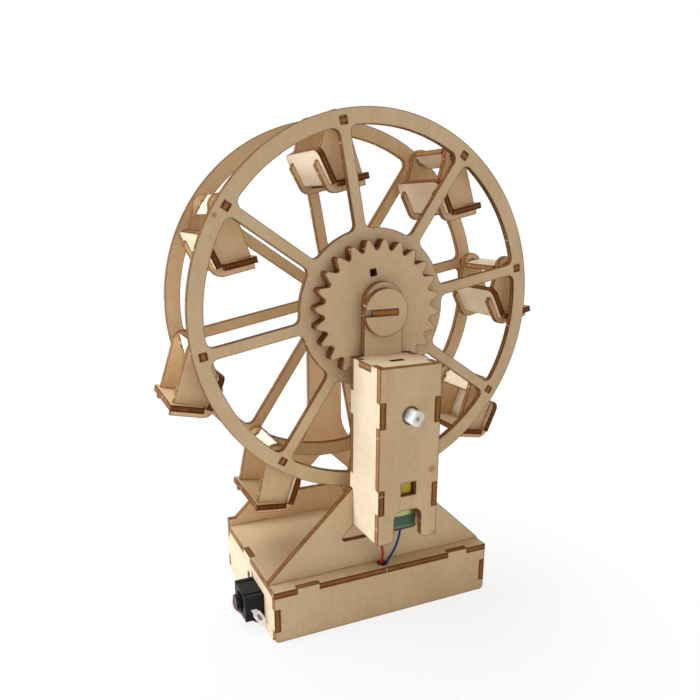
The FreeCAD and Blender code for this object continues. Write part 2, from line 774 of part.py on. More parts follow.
def hung(shape, number):
    """Flips a seat if its backrest is on the right, tilts it and puts its pivot on its crossbar."""
    if seat_sides[number] < 0:
        shape = shape.mirror(vec(0, 0, 0), TO_RIGHT)
    shape = turned(shape, seat_tilts[number])
    angle = math.radians(spoke_angle(number))
    pivot_x, pivot_z = bar_circle_radius * math.cos(angle), axle_height + bar_circle_radius * math.sin(angle)
    shape.translate(vec(pivot_x, 0, pivot_z))
    return shape


def floor_middle():
    return (floor_rear + floor_front) / 2


def seat_depth_span():
    return seat_plate_front - seat_overhang, seat_plate_rear + ply + seat_overhang


def leaned(slab):
    """Puts an upright slab, its inner face at X 0 and its foot at Z 0, where the backrest stands."""
    slab = turned(slab, back_lean)
    slab.translate(vec(back_foot, 0, back_foot_height))
    return slab


def back_slot(y):
    """The slot in a hanger for the upper half of the backrest, open at its top end."""
    low, high = back_length / 2 - lap_gap, back_length + cut_margin
    return leaned(box(-ply - lap_gap, lap_gap, y, y + ply, low, high))


def make_hanger(y):
    """One side plate of a seat, with its slots for the floor and the backrest."""
    flange_low = floor_top - ply - flange_drop
    body = plate([(hanger_front_top, 0), (hanger_front_low, floor_top), (flange_front, floor_top),
                  (flange_front, flange_low), (flange_back_low, flange_low), flange_back_high,
                  flange_tip, hanger_back_high, (hanger_back_top, 0)], y)
    body = rounded(body, [(flange_back_low, flange_low)], flange_corner_radius)
    body = body.fuse(disc(hanger_top_radius, y, ply)).removeSplitter()
    floor_slot = box(floor_middle() - lap_gap, floor_front + cut_margin, y, y + ply,
                     floor_top - ply - lap_gap, floor_top + lap_gap)
    return body.cut(floor_slot).cut(back_slot(y)).cut(disc(pivot_hole_radius, y, ply))


def make_hangers(number):
    pair = [hung(make_hanger(y), number) for y in (seat_plate_front, seat_plate_rear)]
    return Part.makeCompound(pair)


def make_seat_floor(number):
    y_low, y_high = seat_depth_span()
    floor = box(floor_rear, floor_front, y_low, y_high, floor_top - ply, floor_top)
    for y in (seat_plate_front, seat_plate_rear):
        floor = floor.cut(box(floor_rear, floor_middle() + lap_gap, y - lap_gap, y + ply + lap_gap,
                              floor_top - ply, floor_top))
    return hung(floor, number)


def make_seat_back(number):
    y_low, y_high = seat_depth_span()
    slab = box(-ply, 0, y_low, y_high, 0, back_length)
    top_edges = []
    for edge in slab.Edges:
        first, last = edge.Vertexes[0].Point, edge.Vertexes[-1].Point
        if abs(first.x - last.x) > 1 and min(first.z, last.z) > back_length - 0.01:
            top_edges.append(edge)
    slab = slab.makeFillet(back_corner_radius, top_edges)
    for y in (seat_plate_front, seat_plate_rear):
        slab = slab.cut(box(-ply, 0, y - lap_gap, y + ply + lap_gap, 0, back_length / 2 + lap_gap))
    return hung(leaned(slab), number)


# Push switch

def switch_x():
    return left_x - switch_depth


def make_switch_body():
    low_y, high_y = switch_y - switch_length / 2, switch_y + switch_length / 2
    high_z = switch_low + switch_height
    body = box(switch_x(), left_x, low_y, high_y, switch_low, high_z)
    groove = switch_groove_width / 2
    depth = switch_groove_depth
    for y in (low_y + switch_groove_inset, high_y - switch_groove_inset):
        for z_low, z_high in ((switch_low, switch_low + depth), (high_z - depth, high_z)):
            body = body.cut(box(switch_x(), left_x, y - groove, y + groove, z_low, z_high))
    mouth = vec(switch_x(), switch_y, switch_low + switch_height / 2)
    recess = Part.makeCylinder(button_recess_radius, button_recess_depth, mouth, TO_RIGHT)
    bore = Part.makeCylinder(button_radius + bearing_gap, button_length, mouth, TO_RIGHT)
    return body.cut(recess).cut(bore)


def make_switch_button():
    """Round latching button; its inner end stays in the bore when it is out."""
    middle_z = switch_low + switch_height / 2
    face_x = switch_x() - button_proud
    button = Part.makeCylinder(button_radius, button_length, vec(face_x, switch_y, middle_z), TO_RIGHT)
    face_edges = [edge for edge in button.Edges if edge.BoundBox.XMax < face_x + 0.01]
    return button.makeFillet(button_edge_radius, face_edges)


def lug_placement():
    """Puts a plate that hangs from (0, 0, 0) where the bent lug hangs."""
    bend = vec(left_x - lug_out, switch_y - switch_length / 2 - lug_thickness, lug_bend_height)
    lean = FreeCAD.Rotation(TO_RIGHT, -lug_lean)
    tilt = FreeCAD.Rotation(TO_BACK, -lug_tilt)
    return FreeCAD.Placement(bend, lean.multiply(tilt))


def make_switch_lugs():
    """Two solder lugs: a bent one with a hole on the front end, an upright prong on the rear end."""
    low_y, high_y = switch_y - switch_length / 2, switch_y + switch_length / 2
    half = lug_width / 2
    bent = box(-half, half, 0, lug_thickness, -lug_length, 0)
    bent = bent.cut(disc(lug_hole_radius, 0, lug_thickness, 0, -lug_length / 2))
    bent = bent.transformGeometry(lug_placement().toMatrix())
    bent = bent.cut(box(switch_x(), left_x, low_y, high_y, switch_low, switch_low + switch_height))
    middle = left_x - lug_out
    root = box(middle - half, middle + half, low_y - lug_thickness, low_y,
               lug_bend_height, lug_bend_height + lug_root_length)
    prong_x = left_x - prong_out
    rear = box(prong_x, prong_x + lug_thickness, high_y, high_y + prong_width, switch_low, prong_top)
    return Part.makeCompound([root.fuse(bent).removeSplitter(), rear])


# Battery holder and cells

def make_battery_holder():
    """Open tray for two cells, its floor against the base's top plate and its mouth down."""
    half_x, half_y = holder_length / 2, holder_width / 2
    tray = box(-half_x, half_x, holder_y - half_y, holder_y + half_y, holder_low, top_underside)
    inner_x, inner_y = half_x - holder_wall, half_y - holder_wall
    hollow = box(-inner_x, inner_x, holder_y - inner_y, holder_y + inner_y,
                 holder_low, top_underside - holder_wall)
    return tray.cut(hollow)


def cell_places():
    half = cell_radius + cell_gap / 2
    return [(holder_y - half, 1), (holder_y + half, -1)]


def cell_height():
    return top_underside - holder_wall - cell_wall_gap - cell_radius


def make_battery_cells():
    cells = []
    for y, way in cell_places():
        cell = Part.makeCylinder(cell_radius, cell_length - cell_button_length,
                                 vec(-way * cell_length / 2, y, cell_height()), vec(way, 0, 0))
        shoulder = vec(way * (cell_length / 2 - cell_button_length), y, cell_height())
        tip = Part.makeCylinder(cell_button_radius, cell_button_length, shoulder, vec(way, 0, 0))
        cells.append(cell.fuse(tip).removeSplitter())
    return Part.makeCompound(cells)


def make_battery_contacts():
    """Flat contact plates at both ends of each cell, with a bump that reaches the cell."""
    wall_x = holder_length / 2 - holder_wall
    half = contact_width / 2
    contacts = []
    for y, _ in cell_places():
        for side in (-1, 1):
            near, far = sorted((side * (wall_x - contact_thickness), side * wall_x))
            blade = box(near, far, y - half, y + half, cell_height() - half, cell_height() + half)
            cone_foot = vec(side * (wall_x - contact_thickness), y, cell_height())
            bump = Part.makeCone(contact_bump_foot, contact_bump_tip, contact_bump_length,
                                 cone_foot, vec(-side, 0, 0))
            contacts.append(blade.fuse(bump).removeSplitter())
    return Part.makeCompound(contacts)


# Leads

def lead(route, name):
    """A wire along straight runs joined by tangent arcs."""
    edges = []
    here = route[0]
    radii = []
    for before, corner, after in zip(route, route[1:], route[2:]):
        into, out = corner - before, after - corner
        reach = 0.45 * min(into.Length, out.Length)
        into.normalize()
        out.normalize()
        turn = into.getAngle(out)
        radius = reach / math.tan(turn / 2)
        radii.append(round(radius, 1))
        start, stop = corner - into * reach, corner + out * reach
        inward = out - into
        inward.normalize()
        middle = corner + inward * (radius / math.cos(turn / 2) - radius)
        edges.append(Part.LineSegment(here, start).toShape())
        edges.append(Part.Arc(start, middle, stop).toShape())
        here = stop
    edges.append(Part.LineSegment(here, route[-1]).toShape())
    path = Part.Wire(edges)
    heading = route[1] - route[0]
    section = Part.Wire([Part.Circle(route[0], heading, lead_diameter / 2).toShape()])
    tube = path.makePipeShell([section], True, False)
    straight = math.pi * lead_diameter ** 2 / 4 * path.Length
    share = round(tube.Volume / straight, 3)
    print(name, "bend radii", radii, "length", round(path.Length, 1), "volume share", share)
    return tube


def from_corner(corner, bends):
    return [corner + vec(*bend) for bend in bends]


def motor_terminal(x):
    """A lead's first two points: on the motor's end cap, and straight below it."""
    top = vec(x, motor_y, end_cap_low())
    return [top, top - vec(0, 0, terminal_run)]


base_top_corner = vec(0, front_y, base_height)
left_corner = vec(left_x, front_y, 0)
holder_corner = vec(-holder_length / 2, holder_y, holder_low)


def make_motor_lead_red():
    """From the motor through the base and under the switch to the tip of its bent lug."""
    inside = left_corner + vec(hole_run, red_hole_setback, red_hole_height)
    place = lug_placement()
    on_lug = place.multVec(vec(0, lug_thickness, lug_solder - lug_length))
    off_lug = place.multVec(vec(0, lug_thickness + 2 * lead_diameter, lug_solder - lug_length))
    route = motor_terminal(-terminal_x) + from_corner(base_top_corner, red_drop)
    route += from_corner(left_corner, red_run) + [inside] + from_corner(left_corner, red_loop)
    return lead(route + [off_lug, on_lug], "motor_lead_red")


def make_motor_lead_blue():
    """From the motor through the base to the battery holder."""
    route = motor_terminal(blue_terminal_x) + from_corner(base_top_corner, blue_drop)
    route += from_corner(holder_corner, blue_run + ((0, -lead_solder_y, blue_solder_rise),))
    return lead(route, "motor_lead_blue")


def make_switch_lead():
    """From the rear end of the switch through the left panel to the battery holder."""
    start = vec(left_x - switch_lead_out, switch_y + switch_length / 2, switch_lead_height)
    inside = left_corner + vec(hole_run, switch_hole_setback, switch_hole_height)
    route = [start, start + vec(0, switch_run, 0)] + from_corner(left_corner, switch_loop) + [inside]
    route += from_corner(holder_corner, switch_inner_run + ((0, lead_solder_y, switch_solder_rise),))
    return lead(route, "switch_lead")


parts = {
    "base_top": make_base_top(),
    "base_front": make_base_front(),
    "base_left": make_base_left(),
    "base_right": make_base_side(right_x - ply),
    "front_frame": make_front_frame(),
    "rear_frame": make_rear_frame(),
    "axle_strip": make_axle(),
    "front_axle_cap": make_axle_cap(front_cap_y),
    "rear_axle_cap": make_axle_cap(rear_cap_y),
    "tower_front": make_tower_front(),
    "tower_left": make_tower_side(-tower_half),
    "tower_right": make_tower_side(tower_half - ply),
    "tower_lid": make_tower_lid(),
    "gearbox_front": make_gearbox_front(),
    "gearbox_rear": make_gearbox_rear(),
    "gearbox_screws": make_case_screws(),
    "motor_can": make_motor_can(),
    "motor_end_cap": make_motor_end_cap(),
    "motor_shaft": make_motor_shaft(),
    "pinion": make_pinion(),
    "drive_gear": gear_plate(gear_y),
    "gear_spacer": gear_plate(spacer_y),
    "front_ring": make_ring(front_hub_radius, front_ring_y),
    "rear_ring": make_ring(rear_hub_radius, rear_ring_y),
    "crossbars": make_crossbars(),
    "switch_body": make_switch_body(),
    "switch_button": make_switch_button(),
    "switch_lugs": make_switch_lugs(),
    "battery_holder": make_battery_holder(),
    "battery_cells": make_battery_cells(),
    "battery_contacts": make_battery_contacts(),
    "motor_lead_red": make_motor_lead_red(),
    "motor_lead_blue": make_motor_lead_blue(),
    "switch_lead": make_switch_lead(),
}
for number in range(seat_count):
    parts[f"seat_{number + 1}_hangers"] = make_hangers(number)
    parts[f"seat_{number + 1}_back"] = make_seat_back(number)
    parts[f"seat_{number + 1}_floor"] = make_seat_floor(number)

os.makedirs("parts", exist_ok=True)
for name, shape in parts.items():
    print(name, "solids", len(shape.Solids), "valid", shape.isValid(), "volume", round(shape.Volume, 1))
    shape.exportStep(f"parts/{name}.step")
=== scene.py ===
import bpy
import math
from mathutils import Matrix, Vector


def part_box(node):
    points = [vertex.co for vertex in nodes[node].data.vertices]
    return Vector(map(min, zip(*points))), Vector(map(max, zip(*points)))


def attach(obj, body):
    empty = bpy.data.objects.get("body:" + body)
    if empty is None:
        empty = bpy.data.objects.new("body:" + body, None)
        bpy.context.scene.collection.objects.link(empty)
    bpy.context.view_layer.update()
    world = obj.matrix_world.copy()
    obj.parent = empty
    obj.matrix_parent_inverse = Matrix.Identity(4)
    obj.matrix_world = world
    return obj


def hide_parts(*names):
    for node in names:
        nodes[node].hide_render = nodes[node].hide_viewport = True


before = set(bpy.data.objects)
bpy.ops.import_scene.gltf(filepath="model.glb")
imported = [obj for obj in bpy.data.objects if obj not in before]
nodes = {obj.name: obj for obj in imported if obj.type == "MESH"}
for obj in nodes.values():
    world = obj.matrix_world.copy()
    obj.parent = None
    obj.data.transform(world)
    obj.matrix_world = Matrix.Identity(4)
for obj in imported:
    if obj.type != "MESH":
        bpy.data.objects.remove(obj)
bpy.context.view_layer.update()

# Sizes are in millimetres, and MM turns them into metres
MM = 0.001

# Sizes that the part's source also holds
PLY = 2.7
FRONT_Y = -1.35
BASE_HEIGHT = 25.0
LEFT_X = -56.0
AXLE_Z = 144.4
SEAT_COUNT = 8
FIRST_SPOKE = 10.8
SPOKE_PITCH = 360 / SEAT_COUNT
HUB_HOLE_RADIUS = 5.918
BAR_CIRCLE = 78.8
BAR_END = 3.2
BAR_MIDDLE = 10.0
BAR_SPAN = (15.45, 62.35)
BAR_MIDDLE_SPAN = (27.15, 50.15)
UPRIGHT_BARS = (0, 5)
SEAT_TILTS = (13.2, 12.5, 13.9, 12.1, -12.5, -6.3, -9.0, -10.0)
SEAT_SIDES = (1, 1, 1, 1, -1, -1, -1, -1)
SEAT_FLOOR_LOW = -24.9
BACK_FOOT = (-6.2, -22.8)
BACK_LEAN = 13.5
HANGER_PITCH = 28.4
LEAD_DIAMETER = 1.1
END_CAP_Z = 51.02
HOLDER_CORNER = (-29.0, 38.65, 7.3)

# Camera, solved from the photograph's corners
CAMERA_PLACE = (-138.34, -247.58, 187.60)
CAMERA_AZIMUTH = -23.48
CAMERA_ELEVATION = 15.65
CAMERA_ROLL = -0.36
FOCAL_PIXELS = 669.7
CENTRE_PIXELS = (324.34, 395.65)
IMAGE = 700
SENSOR = 36.0
CLIP_METRES = (0.01, 30)


def to_metres(point):
    return Vector([value * MM for value in point])


def rotation(degrees, axis, size=4):
    return Matrix.Rotation(math.radians(degrees), size, axis)


def away_from_middle(azimuth, elevation):
    """The way to a camera or lamp: azimuth 0 is in front of the wheel, and minus is to the left."""
    angle, rise = math.radians(azimuth), math.radians(elevation)
    return Vector((math.sin(angle) * math.cos(rise), -math.cos(angle) * math.cos(rise), math.sin(rise)))


def show(name, data):
    """A new object with this data, linked into the scene."""
    thing = bpy.data.objects.new(name, data)
    bpy.context.scene.collection.objects.link(thing)
    return thing


def make_camera():
    data = bpy.data.cameras.new("camera")
    data.sensor_width = SENSOR
    data.lens = FOCAL_PIXELS / IMAGE * SENSOR
    data.shift_x = (IMAGE / 2 - CENTRE_PIXELS[0]) / IMAGE
    data.shift_y = (CENTRE_PIXELS[1] - IMAGE / 2) / IMAGE
    data.clip_start, data.clip_end = CLIP_METRES
    camera = show("camera", data)
    back = away_from_middle(CAMERA_AZIMUTH, CAMERA_ELEVATION)
    right = Vector((0, 0, 1)).cross(back).normalized()
    up = back.cross(right)
    roll = rotation(CAMERA_ROLL, back, 3)
    facing = Matrix((roll @ right, roll @ up, back)).transposed().to_4x4()
    camera.matrix_world = Matrix.Translation(to_metres(CAMERA_PLACE)) @ facing
    bpy.context.scene.camera = camera


make_camera()


# Building blocks of the looks

class Nodes:
    """Short calls for building one node tree."""

    def __init__(self, tree):
        self.tree = tree

    def link(self, value, socket):
        if isinstance(value, bpy.types.NodeSocket):
            self.tree.links.new(value, socket)
        else:
            socket.default_value = value

    def add(self, kind, **settings):
        node = self.tree.nodes.new(kind)
        for key, value in settings.items():
            setattr(node, key, value)
        return node

    def fill(self, node, inputs):
        for key, value in inputs.items():
            self.link(value, node.inputs[key])
        return node

    def math(self, operation, a, b=0.0, c=0.0, clamp=False):
        node = self.add("ShaderNodeMath", operation=operation, use_clamp=clamp)
        return self.fill(node, {0: a, 1: b, 2: c}).outputs[0]

    def weighted(self, *shares):
        """The sum of (value, weight) pairs."""
        total = 0.0
        for value, weight in shares:
            total = self.math("ADD", total, self.math("MULTIPLY", value, weight))
        return total

    def ramp(self, value, low, high, out_low=0.0, out_high=1.0):
        """Smoothly from out_low at low to out_high at high."""
        node = self.add("ShaderNodeMapRange", interpolation_type="SMOOTHSTEP")
        return self.fill(node, {0: value, 1: low, 2: high, 3: out_low, 4: out_high}).outputs[0]

    def mix(self, factor, a, b):
        """From colour a to colour b."""
        return self.fill(self.add("ShaderNodeMix", data_type="RGBA"), {0: factor, 6: a, 7: b}).outputs[2]

    def blend(self, factor, a, b):
        """From number a to number b."""
        return self.fill(self.add("ShaderNodeMix", data_type="FLOAT"), {0: factor, 2: a, 3: b}).outputs[0]

    def vector(self, x, y, z):
        return self.fill(self.add("ShaderNodeCombineXYZ"), {0: x, 1: y, 2: z}).outputs[0]

    def split(self, vector):
        """A vector's parts, by the names of the axes."""
        return dict(zip("XYZ", self.fill(self.add("ShaderNodeSeparateXYZ"), {0: vector}).outputs))

    def noise(self, place, scale=1.0, detail=2.0, roughness=0.5):
        node = self.add("ShaderNodeTexNoise")
        settings = {"Vector": place, "Scale": scale, "Detail": detail, "Roughness": roughness}
        return self.fill(node, settings).outputs["Fac"]

    def curve(self, value, points):
        """A smooth run of grey values through (place, value) points."""
        node = self.add("ShaderNodeValToRGB")
        stops = node.color_ramp.elements
        for stop, (place, level) in zip((stops[0], stops[1]), (points[0], points[-1])):
            stop.position = place
            stop.color = (level, level, level, 1.0)
        for place, level in points[1:-1]:
            stops.new(place).color = (level, level, level, 1.0)
        return self.fill(node, {0: value}).outputs[0]


class Look(Nodes):
    """One material and the calls that set its surface."""

    def __init__(self, name):
        self.material = bpy.data.materials.new(name)
        self.material.use_nodes = True
        super().__init__(self.material.node_tree)
        self.shader = self.tree.nodes["Principled BSDF"]

    def surface(self, **inputs):
        """Sets the shader's inputs, written with _ for each space."""
        self.fill(self.shader, {key.replace("_", " "): value for key, value in inputs.items()})

    def rough(self, middle, pattern, spread):
        """A roughness that the pattern varies by spread around its middle."""
        varied = self.math("MULTIPLY", pattern, spread)
        self.surface(Roughness=self.math("ADD", varied, middle - spread / 2))

    def relief(self, height, strength, depth):
        """Small bumps that follow a pattern."""
        settings = {"Strength": strength, "Distance": depth * MM, "Height": height}
        bump = self.fill(self.add("ShaderNodeBump"), settings)
        self.surface(Normal=bump.outputs["Normal"])


def colour(red, green, blue):
    """A linear colour from 0-255 screen values."""
    def linear(value):
        value = value / 255
        return value / 12.92 if value <= 0.04045 else ((value + 0.055) / 1.055) ** 2.4
    return linear(red), linear(green), linear(blue), 1.0


def darkened(shade, share):
    return tuple(value * share for value in shade[:3]) + (1.0,)


def dress(name, material):
    mesh = nodes[name].data
    mesh.materials.clear()
    mesh.materials.append(material)


# Plywood

SHEETS = {
    "plain": (colour(219, 195, 159), colour(198, 168, 127)),
    "light": (colour(240, 220, 190), colour(222, 196, 158)),
    "warm": (colour(226, 198, 160), colour(206, 172, 128)),
    # Paler than the other sheets: painted light that lifts the rear frame, which stands in shade
    "painted_light": (colour(248, 222, 184), colour(233, 200, 155)),
}
FLECK = colour(122, 86, 50)
CHAR = colour(82, 30, 4)
SCORCH = colour(160, 112, 62)
PALE_CUT = colour(220, 190, 144)
SOOT = colour(128, 86, 42)

# Cosines of a surface's slant between which a face turns into an edge, and an edge's middle into its ends
FACE_SLANT = (0.6, 0.85)
EDGE_SLANT = (0.8, 0.9)
# Waves per metre along the grain, across it and through the sheet, and how far the pattern is shifted
FIBRES = (45, 900, 30, 0.0)
CLOUDS = (25, 60, 25, 3.7)
PORES = (420, 3600, 20, 9.1)
FLECKS = (70, 110, 20, 5.3)
STRIPES = (1500, 1500, 120, 0.0)
# Waves per metre of the patterns that have no grain
MOTTLE_WAVES = 330.0
PATCH_WAVES = 110.0
# How much each of them deepens a face's shade, and the noise levels between which pores and flecks show
FIBRE_SHADE = 0.14
CLOUD_SHADE = 0.34
MOTTLE_SHADE = 0.24
PORE_SHADE = 0.22
FLECK_SHADE = 0.34
PORE_LEVELS = (0.66, 0.74)
FLECK_LEVELS = (0.76, 0.82)
EVEN_LEVELS = (0.3, 0.7)

# How burnt an edge is through the plywood's thickness: its skins and its two glue lines most
BURN_PROFILE = ((0.0, 1.0), (0.12, 0.95), (0.2, 0.4), (0.29, 0.2), (0.33, 0.75), (0.38, 0.3), (0.5, 0.2),
                (0.62, 0.3), (0.67, 0.75), (0.71, 0.2), (0.8, 0.4), (0.88, 0.95), (1.0, 1.0))
# How much each of these adds to that, and what they have to pass before anything burns
PROFILE_BURN = 1.1
STRIPE_BURN = 0.6
PATCH_BURN = 0.7
END_GRAIN_BURN = 0.1
BURN_THRESHOLD = 1.4
# Pale ticks on the edges
TICK_PITCH = 41.0
TICK_WIDTH = 0.5
TICK_SHIFT = 0.37
TICK_STRENGTH = 0.7
# Dark line on the faces along each cut, partly laser scorch and partly painted shade of the gaps where
# plates meet:
# its width, the cosines of the eased edge's slant at which it is full and gone, and its strength
RIM_WIDTH = 0.8
# On the crossbars the line is wider: it paints the shade in the gap around their tenons as well as their
# scorch
BAR_RIM_AND_GAP_SHADE_WIDTH = 1.1
RIM_FULL = 0.94
RIM_GONE = 0.9995
RIM_STRENGTH = 0.95
# A smudge is full up to the first share of its size and gone at the second, with a ragged outline
MARK_FADE = (0.35, 1.35)
MARK_RAGGED = 0.5
# An edge's roughness, and what the fibres and a face add to it
EDGE_ROUGHNESS = 0.58
FIBRE_ROUGHNESS = 0.12
FACE_ROUGHNESS = -0.1
PLY_GLOSS = 0.06
PLY_RELIEF = (0.25, 0.12)


def plywood(name, facing, grain, start, turn=0.0, pitch=None, burn=0.5, sheet="plain", seed=0.0, marks=(),
            rim_width=RIM_WIDTH):
    """Laser-cut plywood. facing and grain are axes of the plate, turned about Y by turn degrees. start is
    where its first face lies along facing, and pitch the distance to the next plate of the same piece. burn
    is how dark its edges are, rim_width how far the dark line along each cut, scorch and painted shade of
    the gaps between plates, reaches onto its faces, and seed shifts every pattern. marks are (x, z, width,
    height, strength) smudges on the faces."""
    n = Look(name)
    place = n.add("ShaderNodeTexCoord").outputs

    def turned(vector):
        node = n.add("ShaderNodeVectorRotate", rotation_type="Y_AXIS")
        return n.split(n.fill(node, {"Vector": vector, "Angle": math.radians(turn)}).outputs[0])

    along, normal = turned(place["Object"]), turned(place["Normal"])
    cross = [axis for axis in "XYZ" if axis not in (facing, grain)][0]
    face = n.ramp(n.math("ABSOLUTE", normal[facing]), *FACE_SLANT)

    def grained(pattern):
        with_grain, across_grain, through, shift = pattern
        return n.vector(n.math("MULTIPLY", along[grain], with_grain),
                        n.math("MULTIPLY", along[cross], across_grain),
                        n.math("ADD", n.math("MULTIPLY", along[facing], through), seed + shift))

    # Faces: long fibres, slow clouds, short pores, a few flecks and the plate's own smudges
    fibres = n.noise(grained(FIBRES), detail=3.0, roughness=0.6)
    clouds = n.noise(grained(CLOUDS))
    pores = n.ramp(n.noise(grained(PORES), detail=1.0), *PORE_LEVELS)
    flecks = n.ramp(n.noise(grained(FLECKS), detail=3.0, roughness=0.75), *FLECK_LEVELS)
    mottle = n.noise(place["Object"], MOTTLE_WAVES, 3.0, 0.65)
    depth = n.weighted((n.ramp(fibres, *EVEN_LEVELS), FIBRE_SHADE),
                       (n.ramp(clouds, *EVEN_LEVELS), CLOUD_SHADE),
                       (n.ramp(mottle, *EVEN_LEVELS), MOTTLE_SHADE))
    wood = n.mix(depth, *SHEETS[sheet])
    wood = n.mix(n.math("MULTIPLY", pores, PORE_SHADE), wood, FLECK)
    wood = n.mix(n.math("MULTIPLY", flecks, FLECK_SHADE), wood, FLECK)
    for x, z, width, height, strength in marks:
        away_x = n.math("DIVIDE", n.math("SUBTRACT", along["X"], x * MM), width * MM)
        away_z = n.math("DIVIDE", n.math("SUBTRACT", along["Z"], z * MM), height * MM)
        reach = n.math("SQRT", n.math("ADD", n.math("POWER", away_x, 2), n.math("POWER", away_z, 2)))
        ragged = n.math("ADD", reach, n.math("MULTIPLY", clouds, MARK_RAGGED))
        wood = n.mix(n.ramp(ragged, *MARK_FADE, strength, 0.0), wood, SOOT)

    # Edges: charred by the laser, most at both skins and where the cut crosses the grain, with fine stripes
    # through the thickness and a few pale ticks where the piece was snapped off its sheet
    layer = n.math("SUBTRACT", along[facing], start * MM)
    if pitch:
        layer = n.math("WRAP", layer, pitch * MM)
    profile = n.curve(n.math("DIVIDE", layer, PLY * MM), BURN_PROFILE)
    stripes = n.noise(grained(STRIPES), roughness=0.6)
    patches = n.noise(place["Object"], PATCH_WAVES)
    end_grain = n.math("ABSOLUTE", normal[grain])
    heat = n.weighted((profile, PROFILE_BURN), (stripes, STRIPE_BURN), (patches, PATCH_BURN),
                      (end_grain, END_GRAIN_BURN))
    edge = n.mix(n.math("ADD", heat, burn - BURN_THRESHOLD, clamp=True), SCORCH, CHAR)
    for axis, other in ((grain, cross), (cross, grain)):
        beat = n.math("ADD", n.math("MULTIPLY", along[axis], 1 / (TICK_PITCH * MM)), seed * TICK_SHIFT)
        tick = n.math("LESS_THAN", n.math("FRACT", beat), TICK_WIDTH / TICK_PITCH)
        flat = n.ramp(n.math("ABSOLUTE", normal[other]), *EDGE_SLANT)
        edge = n.mix(n.math("MULTIPLY", n.math("MULTIPLY", tick, flat), TICK_STRENGTH), edge, PALE_CUT)

    # Rim: a thin dark line along every cut, partly scorch and partly painted shade of the gaps where plates
    # meet
    eased = n.fill(n.add("ShaderNodeBevel", samples=4), {"Radius": rim_width * MM})
    sharp = n.add("ShaderNodeNewGeometry")
    match = n.fill(n.add("ShaderNodeVectorMath", operation="DOT_PRODUCT"),
                   {0: eased.outputs["Normal"], 1: sharp.outputs["Normal"]})
    rim = n.ramp(match.outputs["Value"], RIM_FULL, RIM_GONE, RIM_STRENGTH, 0.0)
    added = n.weighted((fibres, FIBRE_ROUGHNESS), (face, FACE_ROUGHNESS))
    n.surface(Base_Color=n.mix(rim, n.mix(face, edge, wood), CHAR),
              Roughness=n.math("ADD", added, EDGE_ROUGHNESS), Specular_IOR_Level=PLY_GLOSS)
    n.relief(n.blend(face, stripes, fibres), *PLY_RELIEF)
    return n.material


def plywood_for(name, facing, grain, **more):
    """Plywood for one of the part's own pieces, its layers counted from where the piece starts."""
    low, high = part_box(name)
    start = {"X": low.x, "Y": low.y, "Z": low.z}[facing] / MM
    return plywood("plywood_" + name, facing, grain, start, **more)


# Where the patterns of each group of pieces start, and the step from one piece to the next
PLATE_SEEDS = (0, 1.7)
SEAT_SEEDS = (20, 2.3)
GEAR_SEEDS = (33, 1.7)
BAR_SEEDS = (40, 1.9)


def seed_of(group, number):
    start, step = group
    return start + number * step


TOWER_MARKS = ((11.4, 79.1, 2.4, 2.4, 0.6), (14.4, 48.7, 4.2, 1.6, 0.4), (-3.2, 72.3, 0.9, 0.7, 0.7))
RING_MARKS = ((-70.1, 185.2, 1.5, 1.5, 0.6),)
# Facing and grain axes, how burnt the edges are, the sheet and the smudges
FLAT_PLATES = {
    "base_top": ("Z", "Y", 0.6, "plain", ()),
    "base_front": ("Y", "Z", 0.5, "plain", ()),
    "base_left": ("X", "Y", 0.55, "plain", ()),
    "base_right": ("X", "Y", 0.55, "plain", ()),
    "front_frame": ("Y", "Z", 0.8, "plain", ()),
    # The rear frame takes the sheet with painted light, as the frame stands in shade
    "rear_frame": ("Y", "Z", 0.6, "painted_light", ()),
    "axle_strip": ("Z", "Y", 0.4, "plain", ()),
    "front_axle_cap": ("Y", "Z", 1.0, "plain", ()),
    "rear_axle_cap": ("Y", "Z", 0.7, "plain", ()),
    "tower_front": ("Y", "Z", 0.5, "plain", TOWER_MARKS),
    "tower_left": ("X", "Y", 0.5, "plain", ()),
    "tower_right": ("X", "Y", 0.5, "plain", ()),
    "tower_lid": ("Z", "Y", 0.6, "light", ()),
    "pinion": ("Y", "Z", 0.85, "plain", ()),
    "front_ring": ("Y", "Z", 0.85, "plain", RING_MARKS),
    "rear_ring": ("Y", "Z", 0.65, "warm", ()),
}
for index, (name, (facing, grain, burn, sheet, marks)) in enumerate(FLAT_PLATES.items()):
    dress(name, plywood_for(name, facing, grain, burn=burn, sheet=sheet, marks=marks,
                            seed=seed_of(PLATE_SEEDS, index)))


# Drive gear: two like plates whose teeth have straight flanks, round tips and round roots

GEAR_TEETH = 24
TOOTH_PITCH = 360 / GEAR_TEETH
# Radius, half width and how far the corners are eased, of a tooth's tip and of the root beside it
TOOTH_TIP = (30.5, 0.9, 0.85)
TOOTH_ROOT = (26.1, 0.62, 0.5)
KEY_HOLE_RADIUS = 16.8
KEY_HOLE_SIZE = 3.0
KEY_HOLE_TURN = 90
HUB_HOLE_STEP = 4
GEAR_BURN = 0.95


def on_circle(radius, degrees):
    angle = math.radians(degrees)
    return Vector((radius * math.cos(angle), radius * math.sin(angle)))


def eased_outline(corners, steps=5):
    """A closed outline through (corner, ease) pairs, each corner rounded over its ease along both sides."""
    points = []
    for index, (corner, ease) in enumerate(corners):
        before, after = corners[index - 1][0], corners[(index + 1) % len(corners)][0]
        start = corner + (before - corner).normalized() * ease
        end = corner + (after - corner).normalized() * ease
        for step in range(steps + 1):
            t = step / steps
            points.append(start * (1 - t) ** 2 + corner * (2 * t * (1 - t)) + end * t ** 2)
    return points


def tooth_outline():
    corners = []
    for tooth in range(GEAR_TEETH):
        for turn, (radius, half_width, ease) in ((0, TOOTH_TIP), (TOOTH_PITCH / 2, TOOTH_ROOT)):
            middle = FIRST_SPOKE + tooth * TOOTH_PITCH + turn
            half = math.degrees(half_width / radius)
            corners += [(on_circle(radius, middle - half), ease), (on_circle(radius, middle + half), ease)]
    return eased_outline(corners)


